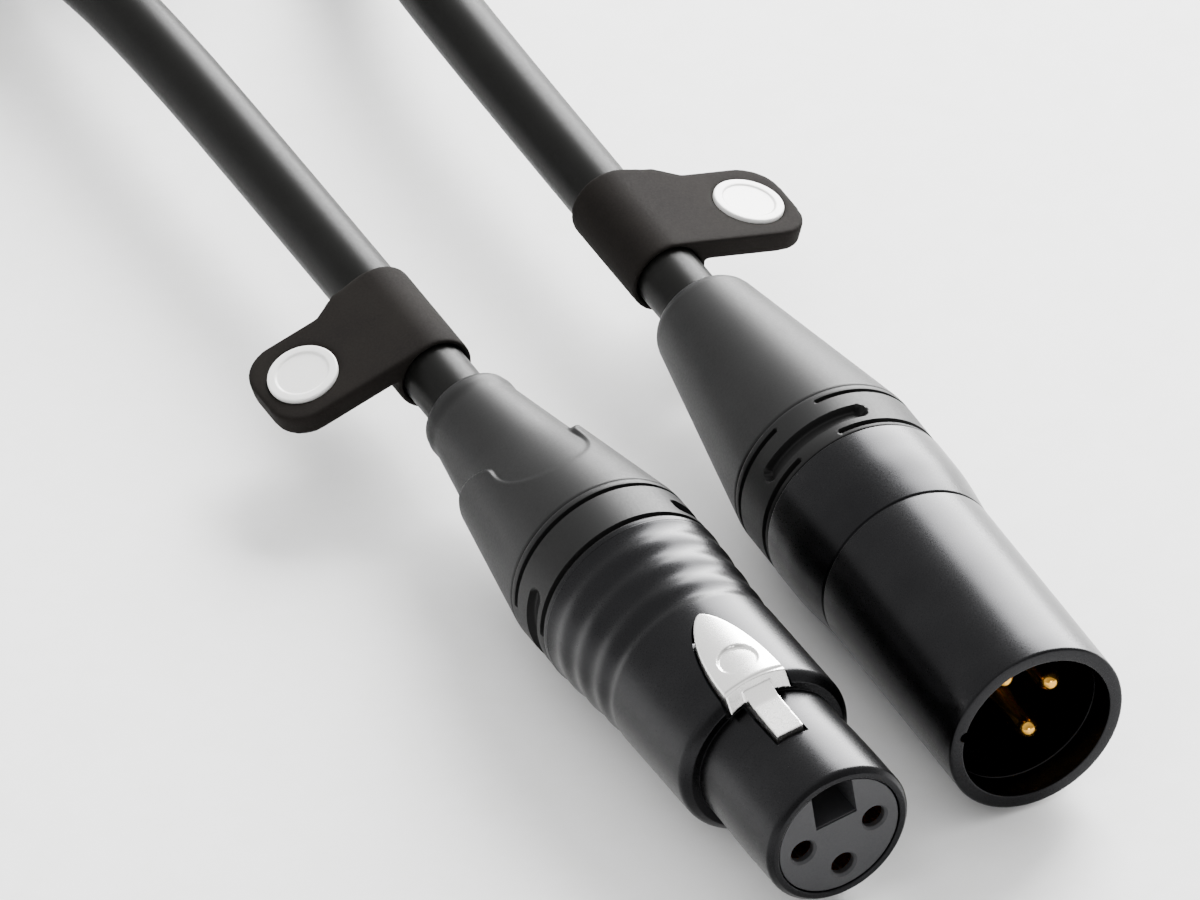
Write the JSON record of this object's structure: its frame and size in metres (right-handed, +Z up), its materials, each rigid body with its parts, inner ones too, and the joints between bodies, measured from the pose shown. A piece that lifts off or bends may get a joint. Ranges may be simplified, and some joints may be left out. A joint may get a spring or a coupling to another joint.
{
  "type": "microphone cable",
  "caption": "Balanced microphone cable with a latching female and a male connector, tapered rubber boots, name tags and the spare length wound into a tied oval coil.",
  "frame": {"origin": "on the floor, under the middle of the two connectors as they lie side by side", "axes": "+Z up; the mating faces look towards -Y and the cable runs back towards +Y; +X is to the right seen from in front, so the female connector is at -X"},
  "size_m": [0.0628, 0.335, 0.0288],
  "materials": {
    "shell": "dark satin lacquer over a die-cast shell",
    "insert": "moulded, fine matt",
    "contact": "gold plated",
    "latch": "satin nickel plate",
    "spring": "spring temper",
    "collet": "natural nylon",
    "boot": "soft matt",
    "jacket": "satin extruded",
    "core_red": "extruded",
    "core_white": "extruded",
    "braid": "bare twisted copper",
    "tag": "moulded matt",
    "badge": "moulded gloss",
    "tie": "hook-and-loop"
  },
  "bodies": {
    "cable": {"coil": "jacket", "coil_tie_left": "tie", "coil_tie_right": "tie", "female_cable_end": "jacket", "female_chuck": "collet", "female_contact_1": "contact", "female_contact_2": "contact", "female_contact_3": "contact", "female_ground_ring": "spring", "female_insert": "insert", "female_lead": "jacket", "female_shell": "shell", "female_wire_cold": "core_white", "female_wire_hot": "core_red", "female_wire_shield": "braid", "latch_pin": "spring", "latch_spring": "spring", "male_cable_end": "jacket", "male_chuck": "collet", "male_ground_spring": "spring", "male_insert": "insert", "male_lead": "jacket", "male_pin_1": "contact", "male_pin_2": "contact", "male_pin_3": "contact", "male_shell": "shell", "male_wire_cold": "core_white", "male_wire_hot": "core_red", "male_wire_shield": "braid"},
    "latch": {"latch_lever": "latch"},
    "female_boot_body": {"female_boot": "boot", "female_boot_nut": "insert"},
    "male_boot_body": {"male_boot": "boot", "male_boot_nut": "insert"},
    "female_tag_body": {"female_name_tag": "tag", "female_tag_disc": "badge"},
    "male_tag_body": {"male_name_tag": "tag", "male_tag_disc": "badge"}
  },
  "joints": [
    {"name": "latch_press", "type": "hinge", "parent": "cable", "child": "latch", "pos_m": [-0.01385, -0.01441, 0.01807], "axis": [0.99, 0.0233, 0.1392], "range_deg": [0, 3], "stiffness_Nm_per_rad": 0.2, "springref_deg": -2.86},
    {"name": "female_boot_back_off", "type": "slide", "parent": "cable", "child": "female_boot_body", "axis": [-0.0236, 0.9997, 0], "range_m": [0, 0.006]},
    {"name": "male_boot_back_off", "type": "slide", "parent": "cable", "child": "male_boot_body", "axis": [0.0157, 0.9999, 0], "range_m": [0, 0.006]},
    {"name": "female_tag_swivel", "type": "hinge", "parent": "cable", "child": "female_tag_body", "pos_m": [-0.0139, 0.0488, 0.01005], "axis": [0, 1, 0], "range_deg": [-20, 110]},
    {"name": "male_tag_swivel", "type": "hinge", "parent": "cable", "child": "male_tag_body", "pos_m": [0.0134, 0.0511, 0.01005], "axis": [0, -1, 0], "range_deg": [-20, 110]}
  ]
}
